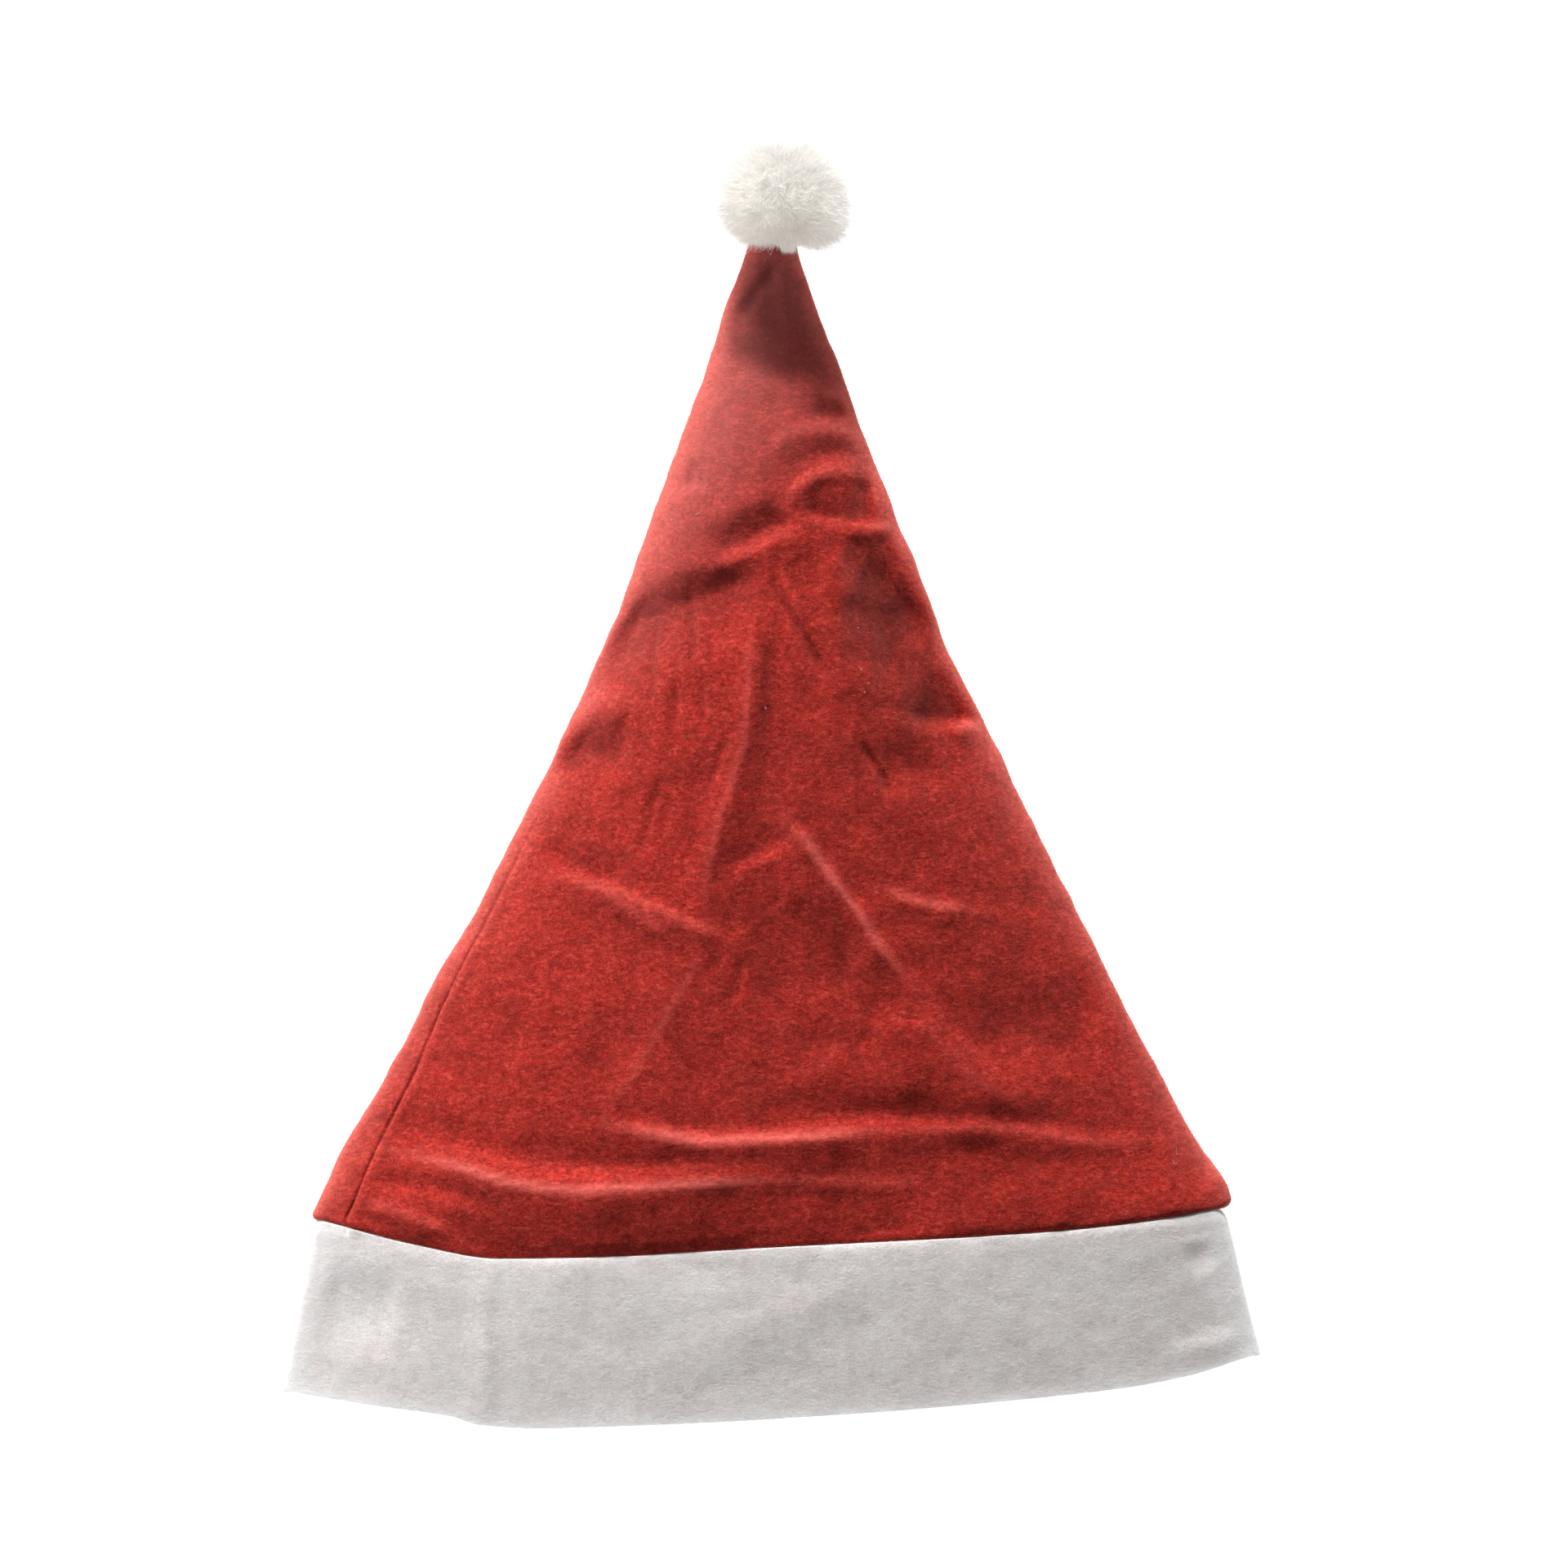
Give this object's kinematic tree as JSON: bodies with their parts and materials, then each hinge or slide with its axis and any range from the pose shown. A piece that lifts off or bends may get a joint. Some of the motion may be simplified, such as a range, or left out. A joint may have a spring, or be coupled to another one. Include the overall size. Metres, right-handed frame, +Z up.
{
  "type": "santa hat",
  "caption": "Red felt cone hat with a white felt brim band and a fur pompom on its tip, lying flat, open at the mouth.",
  "frame": {"origin": "on the floor, in the middle of the hat's box as it lies flat on its back", "axes": "+X the hat's right as seen from above, +Y from the brim to the pompom, +Z up"},
  "size_m": [0.3, 0.3914, 0.035],
  "materials": {
    "red_felt": "matt napped red felt",
    "white_felt": "matt thin white felt",
    "white_fur": "long soft white synthetic fur"
  },
  "bodies": {
    "root": {"crown": "red_felt", "band": "white_felt", "pompom": "white_fur"}
  },
  "joints": []
}
